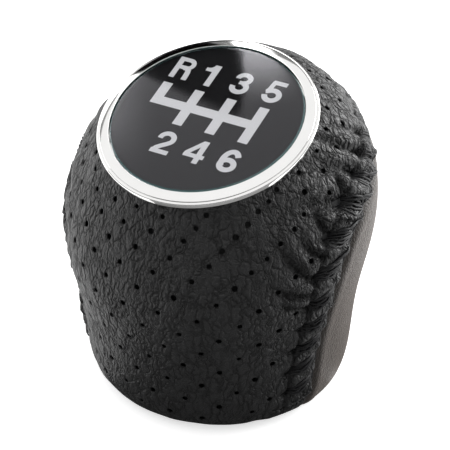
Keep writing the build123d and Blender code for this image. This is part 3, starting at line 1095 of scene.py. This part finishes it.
class Amount:
    """A varying number or colour in a finish; sums on it add Math nodes."""

    def __init__(self, finish, socket):
        self.finish = finish
        self.socket = socket

    def maths(self, operation, first, second):
        return self.finish.node("ShaderNodeMath", {"operation": operation}, {0: first, 1: second})

    def __add__(self, other):
        return self.maths("ADD", self, other)

    __radd__ = __add__

    def __sub__(self, other):
        return self.maths("SUBTRACT", self, other)

    def __rsub__(self, other):
        return self.maths("SUBTRACT", other, self)

    def __mul__(self, other):
        return self.maths("MULTIPLY", self, other)

    __rmul__ = __mul__

    def __truediv__(self, other):
        return self.maths("DIVIDE", self, other)

    def __pow__(self, other):
        return self.maths("POWER", self, other)

    def above(self, other):
        return self.maths("MAXIMUM", self, other)

    def below(self, other):
        return self.maths("MINIMUM", self, other)


class Finish:
    """A material under construction, with its surface left to add."""

    def __init__(self, name):
        self.material = bpy.data.materials.new(name)
        self.material.use_nodes = True
        self.tree = self.material.node_tree
        self.tree.nodes.clear()

    def node(self, kind, settings=None, sockets=None, output=0):
        """Adds a node with its settings and the values or links of its sockets; gives one output."""
        made = self.tree.nodes.new(kind)
        for name, value in (settings or {}).items():
            setattr(made, name, value)
        for name, value in (sockets or {}).items():
            if isinstance(value, Amount):
                self.tree.links.new(value.socket, made.inputs[name])
            else:
                made.inputs[name].default_value = value
        return Amount(self, made.outputs[output]) if made.outputs else None

    def place(self, scale=(1, 1, 1)):
        """Object coordinates in millimetres, stretched."""
        coordinates = self.node("ShaderNodeTexCoord", output="Object")
        scales = tuple(s / MM for s in scale)
        return self.node("ShaderNodeMapping", {}, {"Vector": coordinates, "Scale": scales})

    def wander(self, stretch, scale, amount):
        """Object coordinates in millimetres, stretched and pushed about by noise."""
        sockets = {"Vector": self.place(), "Scale": scale, "Detail": 2.0}
        push = self.node("ShaderNodeTexNoise", {}, sockets, "Color")
        sockets = {0: push, 1: (amount, amount, amount), 2: self.place(stretch)}
        return self.node("ShaderNodeVectorMath", {"operation": "MULTIPLY_ADD"}, sockets)

    def creases(self, vector, scale, width):
        """1 in the lines between cells, falling to 0 within that share of a cell."""
        sockets = {"Vector": vector, "Scale": scale, "Randomness": 1.0}
        distance = self.node("ShaderNodeTexVoronoi", {"feature": "DISTANCE_TO_EDGE"}, sockets, "Distance")
        return (1 - distance / width).above(0.0) ** 2

    def noise(self, scale, detail=2.0, stretch=(1, 1, 1), rough=0.5):
        """Cloudy noise whose clouds are about a scale-th of a millimetre."""
        sockets = {"Vector": self.place(stretch), "Scale": scale, "Detail": detail, "Roughness": rough}
        return self.node("ShaderNodeTexNoise", {}, sockets, "Fac")

    def shades(self, share, colour, dark, light):
        """A colour between a darker and a lighter shade of itself, by share."""
        low, high = ((*(min(c * factor, 1.0) for c in colour), 1) for factor in (dark, light))
        return self.node("ShaderNodeMix", {"data_type": "RGBA"}, {0: share, 6: low, 7: high}, 2)

    def bump(self, height, depth):
        """A Bump node for a height that ranges from 0 to 1 over that depth in millimetres."""
        return self.node("ShaderNodeBump", {}, {"Height": height, "Distance": depth * MM, "Strength": 1.0})

    def principled(self, **values):
        """A Principled shader with the values or links of its sockets."""
        sockets = {name.replace("_", " "): value for name, value in values.items()}
        return self.node("ShaderNodeBsdfPrincipled", {}, sockets)

    def mix(self, share, first, second):
        """A shader between two, by share."""
        return self.node("ShaderNodeMixShader", {}, {0: share, 1: first, 2: second})

    def end(self, shader):
        """Ends the finish with a shader and gives its material."""
        self.node("ShaderNodeOutputMaterial", {}, {"Surface": shader})
        return self.material

    def surface(self, **values):
        """Ends the finish with one Principled surface."""
        return self.end(self.principled(**values))


BLACK, WHITE = (0, 0, 0, 1), (1, 1, 1, 1)


def perforated_finish(colour):
    """Pebbled leather: broken deep lines, fine ones, wrinkles and pores, with painted shade where it is
    folded away and in its lines.
    """
    finish = Finish("perforated_leather")
    deep = finish.creases(finish.wander(stretch=(1, 1, 0.42), scale=0.55, amount=1.9), scale=0.8, width=0.3)
    fine = finish.creases(finish.wander(stretch=(1, 1, 0.7), scale=1.0, amount=0.7), scale=1.5, width=0.26)
    wrinkles = finish.noise(0.8, stretch=(1, 1, 0.36), rough=0.55)
    pores = finish.noise(7.0)
    broken = finish.noise(0.42, detail=1.0, stretch=(1, 1, 0.6))
    # The last of these is how much painted shade the lines take
    contrast, gaps, fine_share, relief, pore_relief, dirt = 3.2, 0.75, 0.22, 0.85, 0.05, 0.28
    lines = deep * (broken * contrast - gaps).above(0.0).below(1.0) + fine * fine_share
    height = 1 - lines * relief + wrinkles * relief + pores * pore_relief
    worn = finish.noise(0.09, detail=3.0)
    # The colour is darker in the lines, painted shade; the rest of its tone varies at random
    hide = finish.principled(
        Base_Color=finish.shades((1 - lines).above(0.0) * (0.6 + 0.4 * worn), colour, dark=0.35, light=1.3),
        Roughness=0.38 + 0.14 * pores + 0.14 * lines, Normal=finish.bump(height, depth=0.4),
        Specular_IOR_Level=0.6,
    )
    # A black surface without gloss, mixed in as painted shade over the creases and the lines
    hidden = finish.principled(Base_Color=(0.003, 0.003, 0.003, 1), Roughness=0.9, Specular_IOR_Level=0.0)
    crease = finish.node("ShaderNodeAttribute", {"attribute_name": "crease"}, {}, "Fac")
    return finish.end(finish.mix(crease.above(lines * dirt).below(1.0), hide, hidden))


def plain_finish(colour):
    """Smooth leather with a fine upright grain."""
    finish = Finish("plain_leather")
    grain = finish.noise(2.6, detail=3.0, stretch=(1, 1, 0.3), rough=0.6)
    pores = finish.noise(9.0, stretch=(1, 1, 0.6))
    lines = finish.creases(finish.wander(stretch=(1, 1, 0.6), scale=1.0, amount=0.6), scale=1.5, width=0.3)
    worn = finish.noise(0.12)
    return finish.surface(
        Base_Color=finish.shades(worn * 0.6 + grain * 0.4, colour, dark=0.7, light=1.3),
        Roughness=0.42 + 0.14 * grain, Specular_IOR_Level=0.5,
        Normal=finish.bump(grain * 0.5 + pores * 0.3 - lines * 0.4, depth=0.16),
        Sheen_Weight=0.25, Sheen_Roughness=0.4, Sheen_Tint=(1, 0.88, 0.8, 1),
    )


def speckled(name, colour, grain, shades, roughness, depth=None, **values):
    """A finish whose tone, roughness and, where a depth is given, relief follow one noise."""
    finish = Finish(name)
    specks = finish.noise(**grain)
    least, spread = roughness
    if depth:
        values["Normal"] = finish.bump(specks, depth)
    tone = finish.shades(specks, colour, *shades)
    return finish.surface(Base_Color=tone, Roughness=least + spread * specks, **values)


def thread_finish(colour):
    """Waxed black thread with a twist of fibres."""
    fibres = {"scale": 9.0, "stretch": (1, 1, 0.5)}
    return speckled("thread", colour, fibres, (0.6, 1.8), (0.42, 0.2), 0.04, Specular_IOR_Level=0.4)


def chrome_finish(colour):
    """Bright chrome with faint rubbing marks."""
    rubbed = {"scale": 0.35, "detail": 4.0}
    return speckled("bezel_chrome", colour, rubbed, (0.97, 1.04), (0.05, 0.05), Metallic=1.0)


def badge_finish(colour):
    """Matt black print."""
    specks = {"scale": 3.0, "detail": 3.0}
    return speckled("badge_black", colour, specks, (0.7, 1.4), (0.6, 0.1), Specular_IOR_Level=0.05)


def silver_finish(name, colour):
    """Silver print with a fine grain."""
    grain = {"scale": 7.0}
    return speckled(name, colour, grain, (0.84, 1.12), (0.45, 0.15), Specular_IOR_Level=0.2)


def lens_finish(name, colour, weight):
    """Clear resin: the badge shows through it and its gloss mirrors the room; weight is its own tint."""
    finish = Finish(name)
    clear = finish.node("ShaderNodeBsdfTransparent", {}, {"Color": WHITE})
    rubbed = finish.noise(0.2, detail=3.0)
    gloss = finish.principled(Base_Color=(0.96, 0.95, 1, 1), Metallic=1.0, Roughness=0.05 + 0.04 * rubbed)
    tint = finish.principled(Base_Color=(*colour, 1), Roughness=0.3 + 0.1 * rubbed, Specular_IOR_Level=0.2)
    inside = finish.node("ShaderNodeNewGeometry", output="Backfacing")
    mirror = finish.node("ShaderNodeFresnel", {}, {"IOR": 1.5}) * (1 - inside)
    return finish.end(finish.mix(mirror, finish.mix(weight, clear, tint), gloss))


def plastic_finish(name, colour):
    """Moulded plastic with a faint texture."""
    texture = {"scale": 3.0, "detail": 3.0}
    return speckled(name, colour, texture, (0.8, 1.25), (0.5, 0.15), 0.03)


def brass_finish(colour):
    """Turned brass."""
    turned = {"scale": 0.9, "detail": 3.0, "stretch": (0.2, 0.2, 4)}
    return speckled("insert_brass", colour, turned, (0.85, 1.1), (0.22, 0.15), Metallic=1.0)


def foam_finish(colour):
    """Grey tape foam."""
    cells = {"scale": 5.0, "detail": 3.0}
    return speckled("tape_foam", colour, cells, (0.7, 1.3), (0.8, 0.1))


def dress(piece, *materials):
    """Puts materials on a new piece and ties it to the knob's body."""
    piece.data.materials.clear()
    for material in materials:
        piece.data.materials.append(material)
    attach(piece, "root")


def settings_of(context):
    """The knob's settings."""
    return context.scene.knob_dressing


class KNOB_OT_perforated_panel(bpy.types.Operator):
    """Makes the perforated panel with its gathers and holes"""
    bl_idname = "knob.perforated_panel"
    bl_label = "Perforated panel"

    def execute(self, context):
        settings = settings_of(context)
        piece = rear_panel(settings)
        thicken(piece, settings.grip.wall)
        dress(piece, perforated_finish(settings.colour.leather))
        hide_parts("rear_cover")
        return {"FINISHED"}


class KNOB_OT_plain_panel(bpy.types.Operator):
    """Makes the plain panel"""
    bl_idname = "knob.plain_panel"
    bl_label = "Plain panel"

    def execute(self, context):
        settings = settings_of(context)
        piece = plain_panel(settings)
        thicken(piece, settings.grip.wall)
        dress(piece, plain_finish(settings.colour.plain))
        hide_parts("front_cover")
        return {"FINISHED"}


class KNOB_OT_lacing(bpy.types.Operator):
    """Laces the panels together along both flanks and round the front"""
    bl_idname = "knob.lacing"
    bl_label = "Lacing"

    crossed = range(5, 9)   # stitches of the right flank that strands cross over from

    def execute(self, context):
        settings = settings_of(context)
        flanks = [Lacing(settings, seam) for seam in leather(settings).seams]
        for lacing in flanks:
            lacing.edge()
            for number in range(lacing.seam.stitches):
                lacing.stitch(number)
        right, left = flanks
        for number in self.crossed:
            right.cross(number)
        for number in range(settings.seam.loose_threads):
            right.loose(number)
        first = len(right.vertices)
        faces = right.faces + [tuple(first + v for v in face) for face in left.faces]
        piece = new_piece("lacing", right.vertices + left.vertices, faces)
        face_outwards(piece)
        bpy.ops.object.shade_smooth()
        dress(piece, thread_finish(settings.colour.thread))
        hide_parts("seam_thread")
        return {"FINISHED"}


class KNOB_OT_bezel(bpy.types.Operator):
    """Turns the chromed bezel"""
    bl_idname = "knob.bezel"
    bl_label = "Bezel"

    steps = 192

    def execute(self, context):
        settings = settings_of(context)
        piece = lathe("chrome_bezel", bezel_profile(settings.bezel), self.steps)
        dress(piece, chrome_finish(settings.colour.chrome))
        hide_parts("bezel_ring")
        return {"FINISHED"}


class KNOB_OT_lens(bpy.types.Operator):
    """Turns the domed lens, with a tinted edge"""
    bl_idname = "knob.lens"
    bl_label = "Lens"

    steps = 128
    edge_width = 0.25 * MM
    edge_tint = 0.3

    def execute(self, context):
        settings = settings_of(context)
        piece = lathe("domed_lens", dome_profile(settings.badge), self.steps)
        middle = lens_finish("lens_clear", settings.colour.lens, 0.0)
        edge = lens_finish("lens_edge", settings.colour.lens_edge, self.edge_tint)
        dress(piece, middle, edge)
        inside = settings.badge.lens_radius - self.edge_width
        origin, normal = Vector(badge_origin * MM), Vector(badge_normal)
        for face in piece.data.polygons:
            spot = face.center - origin
            if (spot - spot.dot(normal) * normal).length > inside:
                face.material_index = 1
        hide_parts("dome_lens")
        return {"FINISHED"}


class KNOB_OT_figures(bpy.types.Operator):
    """Prints the gear figures round the gate"""
    bl_idname = "knob.figures"
    bl_label = "Figures"

    def execute(self, context):
        settings = settings_of(context)
        finish = silver_finish("figure_silver", settings.colour.silver)
        for name in FIGURES:
            piece = figure(name, settings.badge)
            dress(piece, finish)
        return {"FINISHED"}


class KNOB_OT_finishes(bpy.types.Operator):
    """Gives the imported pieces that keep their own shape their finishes"""
    bl_idname = "knob.finishes"
    bl_label = "Finishes"

    def execute(self, context):
        colour = settings_of(context).colour
        finishes = {
            "core": plastic_finish("moulded_core", colour.plastic),
            "base_plate": plastic_finish("base_plastic", colour.plastic),
            "lever_insert": brass_finish(colour.brass),
            "badge_tape": foam_finish(colour.plastic),
            "badge_plate": badge_finish(colour.badge),
            "gate_inlay": silver_finish("gate_silver", colour.silver),
        }
        for name, finish in finishes.items():
            mesh = nodes[name].data
            mesh.materials.clear()
            mesh.materials.append(finish)
        return {"FINISHED"}


# The photograph's width and height in pixels, and the width of the camera's sensor in millimetres
PHOTO = 450
SENSOR = 36.0


def dark_share(x, y):
    """How much of the dark card shows at a pixel of the photograph's dome."""
    left, left_edge, slope = 140, 73, 0.47
    right_edge, bow_middle, bow = 244, 85, 0.006
    blur, more_blur, right_blur = 4, 0.16, 5
    near = left_edge + slope * (x - left)
    right = right_edge - bow * (y - bow_middle) ** 2
    softness = blur + more_blur * max(x - left, 0)
    return smooth((near - y) / softness + 0.5) * smooth((right - x) / right_blur + 0.5)


def right_share(x, y):
    """How much of the right light shows at a pixel of the photograph's dome."""
    bottom, bottom_blur = 108, 68
    left, left_blur = 241, 5
    right, right_blur = 308, 40
    sides = smooth((x - left) / left_blur) * smooth((right - x) / right_blur)
    return smooth((bottom - y) / bottom_blur) * sides


def left_share(x, y):
    """How much of the left light shows at a pixel of the photograph's dome."""
    right, right_blur = 160, 55
    bottom, bottom_blur = 185, 75
    return smooth((right - x) / right_blur) * smooth((bottom - y) / bottom_blur)


# Cards that the dome mirrors: the columns and rows of the photograph that they span there, and how they fade
DOME_CARDS = {
    "dark_card": ((88, 252), (5, 132), dark_share),
    "right_glow": ((241, 312), (5, 112), right_share),
    "left_glow": ((92, 160), (60, 185), left_share),
}

# Grey cards on the floor that darken what the leather mirrors, painted shade in front of the knob and a
# painted contact shadow beside it, by corners in millimetres
FLOOR_CARDS = {
    "front_card": ((-14, 4), (14, 4), (600, 420), (-600, 420)),
    "side_card": ((8, -2), (48, 22), (40, -40), (-12, -48), (-6, -14)),
}

# Soft boxes in metres: where they stand, what they face, their width and depth
SOFT_BOXES = {
    "top": ((-0.2, 0.1, 0.8), (-0.2, 0.1, 0), 2.2, 1.7),
    "left": ((-0.75, 0.1, 0.2), (0, 0, 0.03), 0.7, 0.4),
    "right": ((0.42, 0.8, 0.3), (0, 0, 0.03), 0.8, 0.5),
}


def soft_box(name, place, aim, width, depth, power):
    """A rectangular lamp at a place in metres, turned to the aim."""
    lamp = bpy.data.lights.new(name, "AREA")
    lamp.shape = "RECTANGLE"
    lamp.size = width
    lamp.size_y = depth
    lamp.energy = power
    box = bpy.data.objects.new(name, lamp)
    box.location = place
    box.rotation_euler = (Vector(aim) - Vector(place)).to_track_quat("-Z", "Y").to_euler()
    bpy.context.scene.collection.objects.link(box)


class KNOB_OT_stage(bpy.types.Operator):
    """Sets the pale floor, the soft light and the camera"""
    bl_idname = "knob.stage"
    bl_label = "Stage"

    floor_size = 3.0
    card_level = 0.5 * MM
    # Grey of the floor cards' painted shade
    card_grey = (0.3, 0.3, 0.3)
    card_marks = 41

    def execute(self, context):
        settings = settings_of(context)
        sizes, scene = settings.stage, context.scene
        self.floor(context, settings.colour.floor, sizes.floor_glow)
        world = bpy.data.worlds.new("studio")
        world.use_nodes = True
        background = world.node_tree.nodes["Background"].inputs
        background["Color"].default_value = WHITE
        background["Strength"].default_value = sizes.room
        scene.world = world
        for name, box in SOFT_BOXES.items():
            soft_box(name + "_box", *box, getattr(sizes, name))
        scene.view_settings.view_transform = "Standard"
        camera = self.camera(sizes, scene)
        brightness = {"dark_card": 0.0, "right_glow": sizes.right_glow, "left_glow": sizes.left_glow}
        for name, (columns, rows, fade) in DOME_CARDS.items():
            self.glow(name, columns, rows, fade, brightness[name], settings, camera)
        self.floor_cards(sizes.azimuth)
        return {"FINISHED"}

    def floor(self, context, colour, glow):
        """A pale paper floor."""
        bpy.ops.object.select_all(action="DESELECT")
        bpy.ops.mesh.primitive_plane_add(size=self.floor_size, location=(0, 0, 0))
        floor = context.active_object
        floor.name = "floor"
        finish = Finish("floor_paper")
        tone = finish.shades(finish.noise(0.02), colour, dark=0.99, light=1.0)
        floor.data.materials.append(finish.surface(
            Base_Color=tone, Roughness=0.9, Specular_IOR_Level=0.0,
            Emission_Color=WHITE, Emission_Strength=glow,
        ))
        floor.visible_diffuse = False

    def floor_cards(self, azimuth):
        """The grey cards of painted shade on the floor, laid out as the camera sees the knob."""
        towards = Vector((math.sin(azimuth), -math.cos(azimuth), 0))
        aside = Vector((math.cos(azimuth), math.sin(azimuth), 0))
        level = Vector((0, 0, self.card_level))
        finish = Finish("grey_card")
        tone = finish.shades(finish.noise(0.01), self.card_grey, dark=1.0, light=1.2)
        grey = finish.surface(Base_Color=tone, Roughness=0.9, Specular_IOR_Level=0.0)
        for name, corners in FLOOR_CARDS.items():
            spots = [level + MM * (a * aside + b * towards) for a, b in corners]
            self.card(name, spots, [tuple(range(len(spots)))], grey)

    def glow(self, name, columns, rows, fade, brightness, settings, camera):
        """A card whose image on the dome spans these columns and rows of the photograph, and fades out."""
        finish = Finish(name)
        share = finish.node("ShaderNodeAttribute", {"attribute_name": "fade"}, {}, "Fac")
        light = finish.surface(
            Base_Color=BLACK, Specular_IOR_Level=0.0, Alpha=share,
            Emission_Color=WHITE, Emission_Strength=brightness,
        )
        n = self.card_marks
        marks = [(x, y) for y in np.linspace(*rows, n) for x in np.linspace(*columns, n)]
        firsts = [n * row + column for row in range(n - 1) for column in range(n - 1)]
        faces = [(k, k + 1, k + n + 1, k + n) for k in firsts]
        card = self.card(name, self.mirrored(marks, settings, camera), faces, light)
        shares = card.data.attributes.new("fade", "FLOAT", "POINT")
        shares.data.foreach_set("value", [float(fade(x, y)) for x, y in marks])

    def mirrored(self, marks, settings, camera):
        """Where the dome mirrors these pixels of the photograph to, at the cards' distance."""
        badge, sizes = settings.badge, settings.stage
        turn = camera.matrix_world.to_3x3()
        radius = (badge.lens_radius**2 + badge.lens_rise**2) / (2 * badge.lens_rise)
        crest = print_level * MM + badge.lens_edge + badge.lens_rise
        sphere = Vector(badge_origin * MM) + (crest - radius) * Vector(badge_normal)
        start = camera.location - sphere
        spots = []
        for x, y in marks:
            right = ((x - PHOTO / 2) / PHOTO + sizes.shift_x) * SENSOR
            up = ((PHOTO / 2 - y) / PHOTO + sizes.shift_y) * SENSOR
            ray = turn @ Vector((right, up, -sizes.lens)).normalized()
            half = start.dot(ray)
            reach = -half - math.sqrt(max(half**2 - start.dot(start) + radius**2, 0.0))
            spot = camera.location + reach * ray
            normal = (spot - sphere).normalized()
            spots.append(spot + sizes.card * (ray - 2 * ray.dot(normal) * normal))
        return spots

    def card(self, name, spots, faces, material):
        """A card that only mirrors show."""
        card = mesh_object(name, spots, [], faces)
        card.data.materials.append(material)
        card.visible_camera = False
        card.visible_diffuse = False
        card.visible_shadow = False
        return card

    def camera(self, sizes, scene):
        """Stands the camera at the photograph's view."""
        turn, climb, roll = sizes.azimuth, sizes.elevation, sizes.roll
        back = Vector((math.sin(turn) * math.cos(climb), -math.cos(turn) * math.cos(climb), math.sin(climb)))
        level = Vector((math.cos(turn), math.sin(turn), 0))
        rise = back.cross(level)
        right = math.cos(roll) * level + math.sin(roll) * rise
        up = math.cos(roll) * rise - math.sin(roll) * level
        lens = bpy.data.cameras.new("camera")
        lens.lens = sizes.lens
        lens.sensor_width = SENSOR
        lens.shift_x = sizes.shift_x
        lens.shift_y = sizes.shift_y
        lens.clip_start = 10 * MM
        camera = bpy.data.objects.new("camera", lens)
        spot = Vector((0, 0, sizes.aim)) + sizes.distance * back
        camera.matrix_world = Matrix.Translation(spot) @ Matrix((right, up, back)).transposed().to_4x4()
        scene.collection.objects.link(camera)
        scene.camera = camera
        return camera


OPERATORS = (
    KNOB_OT_perforated_panel, KNOB_OT_plain_panel, KNOB_OT_lacing, KNOB_OT_bezel, KNOB_OT_figures,
    KNOB_OT_lens, KNOB_OT_finishes, KNOB_OT_stage,
)


class KNOB_PT_dressing(bpy.types.Panel):
    """Lists the steps that dress the knob"""
    bl_idname = "KNOB_PT_dressing"
    bl_label = "Gear shift knob"
    bl_space_type = "VIEW_3D"
    bl_region_type = "UI"
    bl_category = "Knob"

    def draw(self, context):
        for step in OPERATORS:
            self.layout.operator(step.bl_idname)


CLASSES = (
    GripSizes, SeamSizes, PunchSizes, BezelSizes, BadgeSizes, KnobColours, StageSizes, KnobSettings,
    *OPERATORS, KNOB_PT_dressing,
)


def register():
    for cls in CLASSES:
        bpy.utils.register_class(cls)
    bpy.types.Scene.knob_dressing = PointerProperty(type=KnobSettings)


def unregister():
    del bpy.types.Scene.knob_dressing
    for cls in reversed(CLASSES):
        bpy.utils.unregister_class(cls)


def main():
    register()
    bpy.ops.knob.perforated_panel()
    bpy.ops.knob.plain_panel()
    bpy.ops.knob.lacing()
    bpy.ops.knob.bezel()
    bpy.ops.knob.figures()
    bpy.ops.knob.lens()
    bpy.ops.knob.finishes()
    bpy.ops.knob.stage()


if __name__ == "__main__":
    main()
